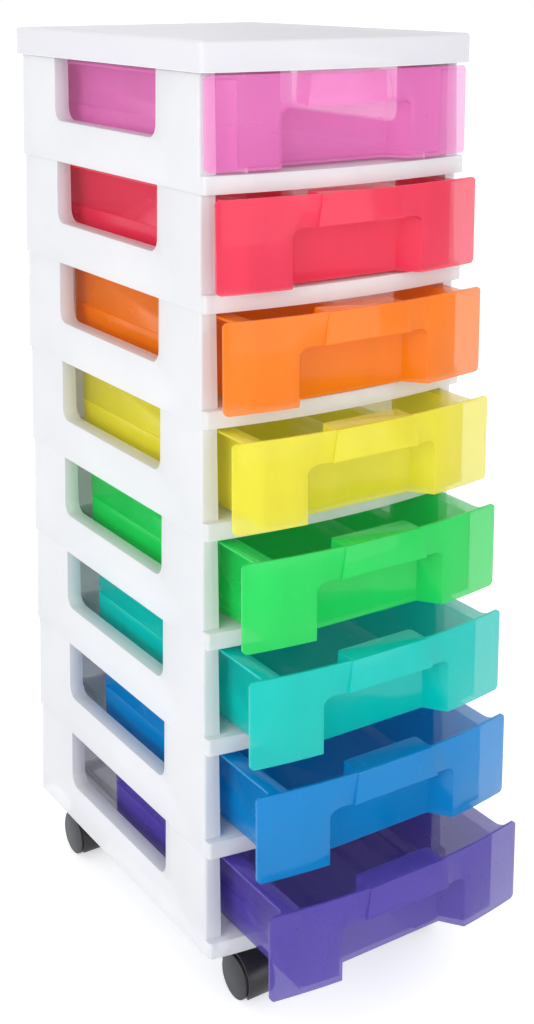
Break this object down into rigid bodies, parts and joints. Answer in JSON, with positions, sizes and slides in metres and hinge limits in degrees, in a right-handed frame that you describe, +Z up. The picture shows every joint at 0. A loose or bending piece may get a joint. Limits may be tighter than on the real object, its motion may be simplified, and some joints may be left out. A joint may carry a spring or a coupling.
{
  "type": "drawer tower",
  "caption": "Free-standing plastic drawer tower: stacked frosted frame modules under a flat cover, with bowed translucent drawers that slide out, on swivel castors.",
  "frame": {"origin": "on the floor, under the middle of the whole tower's plan with its drawers as they stand in the rest pose", "axes": "+Z up, the drawers open towards -Y, +X to the right of a viewer who faces the drawers"},
  "size_m": [0.3128, 0.5218, 0.963],
  "materials": {
    "cover_plastic": "frosted white polypropylene, fine texture",
    "frame_plastic": "frosted translucent polypropylene",
    "pink_plastic": "translucent polypropylene, smooth and slightly glossy",
    "red_plastic": "translucent polypropylene, smooth and slightly glossy",
    "orange_plastic": "translucent polypropylene, smooth and slightly glossy",
    "yellow_plastic": "translucent polypropylene, smooth and slightly glossy",
    "green_plastic": "translucent polypropylene, smooth and slightly glossy",
    "teal_plastic": "translucent polypropylene, smooth and slightly glossy",
    "blue_plastic": "translucent polypropylene, smooth and slightly glossy",
    "purple_plastic": "translucent polypropylene, smooth and slightly glossy",
    "castor_plastic": "black nylon, satin",
    "wheel_plastic": "black nylon, satin",
    "castor_steel": "zinc-plated steel"
  },
  "bodies": {
    "tower": {"top_cover": "cover_plastic", "module_1": "frame_plastic", "module_2": "frame_plastic", "module_3": "frame_plastic", "module_4": "frame_plastic", "module_5": "frame_plastic", "module_6": "frame_plastic", "module_7": "frame_plastic", "module_8": "frame_plastic"},
    "drawer_1": {"drawer_1": "pink_plastic"},
    "drawer_2": {"drawer_2": "red_plastic"},
    "drawer_3": {"drawer_3": "orange_plastic"},
    "drawer_4": {"drawer_4": "yellow_plastic"},
    "drawer_5": {"drawer_5": "green_plastic"},
    "drawer_6": {"drawer_6": "teal_plastic"},
    "drawer_7": {"drawer_7": "blue_plastic"},
    "drawer_8": {"drawer_8": "purple_plastic"},
    "castor_front_left": {"castor_front_left_hood": "castor_plastic", "castor_front_left_stem": "castor_steel", "castor_front_left_axle": "castor_steel"},
    "castor_front_left_wheel_left": {"castor_front_left_wheel_left": "wheel_plastic"},
    "castor_front_left_wheel_right": {"castor_front_left_wheel_right": "wheel_plastic"},
    "castor_front_right": {"castor_front_right_hood": "castor_plastic", "castor_front_right_stem": "castor_steel", "castor_front_right_axle": "castor_steel"},
    "castor_front_right_wheel_left": {"castor_front_right_wheel_left": "wheel_plastic"},
    "castor_front_right_wheel_right": {"castor_front_right_wheel_right": "wheel_plastic"},
    "castor_back_left": {"castor_back_left_hood": "castor_plastic", "castor_back_left_stem": "castor_steel", "castor_back_left_axle": "castor_steel"},
    "castor_back_left_wheel_left": {"castor_back_left_wheel_left": "wheel_plastic"},
    "castor_back_left_wheel_right": {"castor_back_left_wheel_right": "wheel_plastic"},
    "castor_back_right": {"castor_back_right_hood": "castor_plastic", "castor_back_right_stem": "castor_steel", "castor_back_right_axle": "castor_steel"},
    "castor_back_right_wheel_left": {"castor_back_right_wheel_left": "wheel_plastic"},
    "castor_back_right_wheel_right": {"castor_back_right_wheel_right": "wheel_plastic"}
  },
  "joints": [
    {"name": "drawer_1_slide", "type": "slide", "parent": "tower", "child": "drawer_1", "axis": [0, -1, 0], "range_m": [0, 0.25]},
    {"name": "drawer_2_slide", "type": "slide", "parent": "tower", "child": "drawer_2", "axis": [0, -1, 0], "range_m": [-0.0185, 0.2315]},
    {"name": "drawer_3_slide", "type": "slide", "parent": "tower", "child": "drawer_3", "axis": [0, -1, 0], "range_m": [-0.0305, 0.2195]},
    {"name": "drawer_4_slide", "type": "slide", "parent": "tower", "child": "drawer_4", "axis": [0, -1, 0], "range_m": [-0.0455, 0.2045]},
    {"name": "drawer_5_slide", "type": "slide", "parent": "tower", "child": "drawer_5", "axis": [0, -1, 0], "range_m": [-0.061, 0.189]},
    {"name": "drawer_6_slide", "type": "slide", "parent": "tower", "child": "drawer_6", "axis": [0, -1, 0], "range_m": [-0.0735, 0.1765]},
    {"name": "drawer_7_slide", "type": "slide", "parent": "tower", "child": "drawer_7", "axis": [0, -1, 0], "range_m": [-0.085, 0.165]},
    {"name": "drawer_8_slide", "type": "slide", "parent": "tower", "child": "drawer_8", "axis": [0, -1, 0], "range_m": [-0.107, 0.143]},
    {"name": "castor_front_left_swivel", "type": "hinge", "parent": "tower", "child": "castor_front_left", "pos_m": [-0.106, -0.11445, 0.054], "axis": [0, 0, 1], "continuous": true},
    {"name": "castor_front_left_wheel_left_spin", "type": "hinge", "parent": "castor_front_left", "child": "castor_front_left_wheel_left", "pos_m": [-0.106, -0.13445, 0.023], "axis": [1, 0, 0], "continuous": true},
    {"name": "castor_front_left_wheel_right_spin", "type": "hinge", "parent": "castor_front_left", "child": "castor_front_left_wheel_right", "pos_m": [-0.106, -0.13445, 0.023], "axis": [1, 0, 0], "continuous": true},
    {"name": "castor_front_right_swivel", "type": "hinge", "parent": "tower", "child": "castor_front_right", "pos_m": [0.106, -0.11445, 0.054], "axis": [0, 0, 1], "continuous": true},
    {"name": "castor_front_right_wheel_left_spin", "type": "hinge", "parent": "castor_front_right", "child": "castor_front_right_wheel_left", "pos_m": [0.106, -0.13445, 0.023], "axis": [1, 0, 0], "continuous": true},
    {"name": "castor_front_right_wheel_right_spin", "type": "hinge", "parent": "castor_front_right", "child": "castor_front_right_wheel_right", "pos_m": [0.106, -0.13445, 0.023], "axis": [1, 0, 0], "continuous": true},
    {"name": "castor_back_left_swivel", "type": "hinge", "parent": "tower", "child": "castor_back_left", "pos_m": [-0.128, 0.20855, 0.054], "axis": [0, 0, 1], "continuous": true},
    {"name": "castor_back_left_wheel_left_spin", "type": "hinge", "parent": "castor_back_left", "child": "castor_back_left_wheel_left", "pos_m": [-0.128, 0.18855, 0.023], "axis": [1, 0, 0], "continuous": true},
    {"name": "castor_back_left_wheel_right_spin", "type": "hinge", "parent": "castor_back_left", "child": "castor_back_left_wheel_right", "pos_m": [-0.128, 0.18855, 0.023], "axis": [1, 0, 0], "continuous": true},
    {"name": "castor_back_right_swivel", "type": "hinge", "parent": "tower", "child": "castor_back_right", "pos_m": [0.128, 0.20855, 0.054], "axis": [0, 0, 1], "continuous": true},
    {"name": "castor_back_right_wheel_left_spin", "type": "hinge", "parent": "castor_back_right", "child": "castor_back_right_wheel_left", "pos_m": [0.128, 0.18855, 0.023], "axis": [1, 0, 0], "continuous": true},
    {"name": "castor_back_right_wheel_right_spin", "type": "hinge", "parent": "castor_back_right", "child": "castor_back_right_wheel_right", "pos_m": [0.128, 0.18855, 0.023], "axis": [1, 0, 0], "continuous": true}
  ]
}
